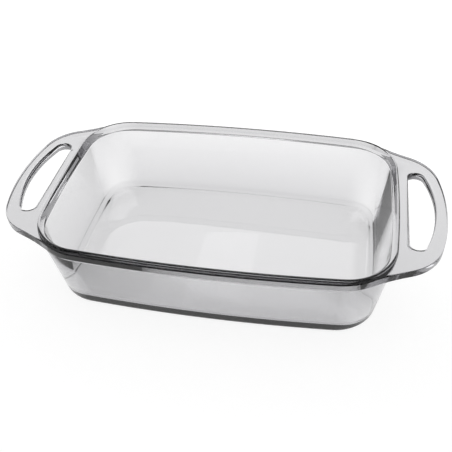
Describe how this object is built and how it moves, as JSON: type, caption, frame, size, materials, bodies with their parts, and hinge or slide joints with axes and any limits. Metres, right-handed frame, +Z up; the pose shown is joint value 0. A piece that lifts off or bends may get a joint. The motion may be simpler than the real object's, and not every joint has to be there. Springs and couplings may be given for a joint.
{
  "type": "loaf pan",
  "caption": "Clear pressed-glass loaf pan with a rounded rectangular basin, raised lip and an open loop handle at each end.",
  "frame": {"origin": "centre of the resting face, at the bottom of the bounding box", "axes": "+X towards the right handle along the length, -Y towards the front long side, +Z up"},
  "size_m": [0.3006, 0.1608, 0.0574],
  "materials": {
    "clear_glass": "clear pressed glass, fire-polished"
  },
  "bodies": {
    "root": {"base": "clear_glass", "wall_front": "clear_glass", "wall_back": "clear_glass", "wall_left": "clear_glass", "wall_right": "clear_glass", "rim": "clear_glass", "handle_left": "clear_glass", "handle_right": "clear_glass"}
  },
  "joints": []
}
